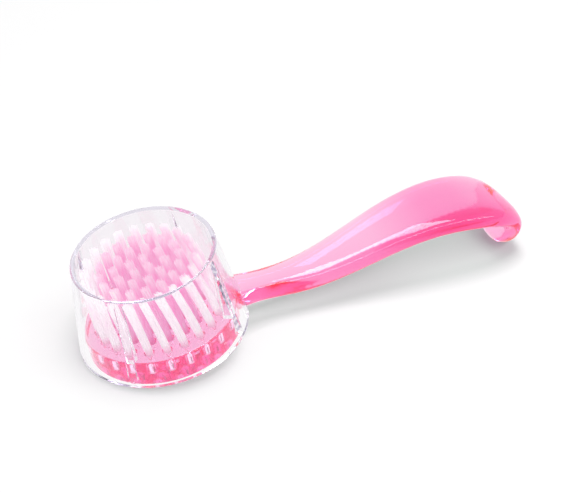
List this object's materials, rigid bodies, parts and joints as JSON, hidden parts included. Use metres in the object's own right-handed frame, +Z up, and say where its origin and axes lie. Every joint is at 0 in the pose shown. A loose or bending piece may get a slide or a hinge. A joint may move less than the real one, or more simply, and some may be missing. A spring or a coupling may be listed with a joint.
{
  "type": "nail brush",
  "caption": "Round tufted nail brush of clear pink plastic with a curved, hooked thumb grip and a clear tapered cap that pulls off its bristles.",
  "frame": {"origin": "bottom centre of the brush's bounding box as it rests with its cap on, on the surface it lies on", "axes": "+X from the head towards the hook of the grip, +Z up; the brush leans, so the head's own axis tips from +Z towards -X"},
  "size_m": [0.1052, 0.037, 0.0271],
  "materials": {
    "pink_clear_plastic": "clear pink, polished moulding",
    "clear_plastic": "clear, polished moulding",
    "nylon_bristle": "pale pink translucent filament",
    "anchor_wire": "plain drawn flat wire"
  },
  "bodies": {
    "brush": {"handle": "pink_clear_plastic", "tuft_ring1_01": "nylon_bristle", "tuft_ring1_02": "nylon_bristle", "tuft_ring1_03": "nylon_bristle", "tuft_ring1_04": "nylon_bristle", "tuft_ring1_05": "nylon_bristle", "tuft_ring1_06": "nylon_bristle", "tuft_ring1_07": "nylon_bristle", "tuft_ring1_08": "nylon_bristle", "tuft_ring1_09": "nylon_bristle", "tuft_ring1_10": "nylon_bristle", "tuft_ring1_11": "nylon_bristle", "tuft_ring1_12": "nylon_bristle", "tuft_ring1_13": "nylon_bristle", "tuft_ring1_14": "nylon_bristle", "tuft_ring1_15": "nylon_bristle", "tuft_ring1_16": "nylon_bristle", "tuft_ring1_17": "nylon_bristle", "tuft_ring1_18": "nylon_bristle", "tuft_ring1_19": "nylon_bristle", "tuft_ring1_20": "nylon_bristle", "tuft_ring1_21": "nylon_bristle", "tuft_ring1_22": "nylon_bristle", "tuft_ring2_01": "nylon_bristle", "tuft_ring2_02": "nylon_bristle", "tuft_ring2_03": "nylon_bristle", "tuft_ring2_04": "nylon_bristle", "tuft_ring2_05": "nylon_bristle", "tuft_ring2_06": "nylon_bristle", "tuft_ring2_07": "nylon_bristle", "tuft_ring2_08": "nylon_bristle", "tuft_ring2_09": "nylon_bristle", "tuft_ring2_10": "nylon_bristle", "tuft_ring2_11": "nylon_bristle", "tuft_ring2_12": "nylon_bristle", "tuft_ring2_13": "nylon_bristle", "tuft_ring2_14": "nylon_bristle", "tuft_ring2_15": "nylon_bristle", "tuft_ring2_16": "nylon_bristle", "tuft_ring3_01": "nylon_bristle", "tuft_ring3_02": "nylon_bristle", "tuft_ring3_03": "nylon_bristle", "tuft_ring3_04": "nylon_bristle", "tuft_ring3_05": "nylon_bristle", "tuft_ring3_06": "nylon_bristle", "tuft_ring3_07": "nylon_bristle", "tuft_ring3_08": "nylon_bristle", "tuft_ring3_09": "nylon_bristle", "tuft_ring3_10": "nylon_bristle", "tuft_ring4_01": "nylon_bristle", "tuft_ring4_02": "nylon_bristle", "tuft_ring4_03": "nylon_bristle", "tuft_ring4_04": "nylon_bristle", "anchors_ring1": "anchor_wire", "anchors_ring2": "anchor_wire", "anchors_ring3": "anchor_wire", "anchors_ring4": "anchor_wire"},
    "cap": {"cap": "clear_plastic"}
  },
  "joints": [
    {"name": "cap_pull_off", "type": "slide", "parent": "brush", "child": "cap", "axis": [-0.173, 0, 0.9849], "range_m": [0, 0.035]}
  ]
}
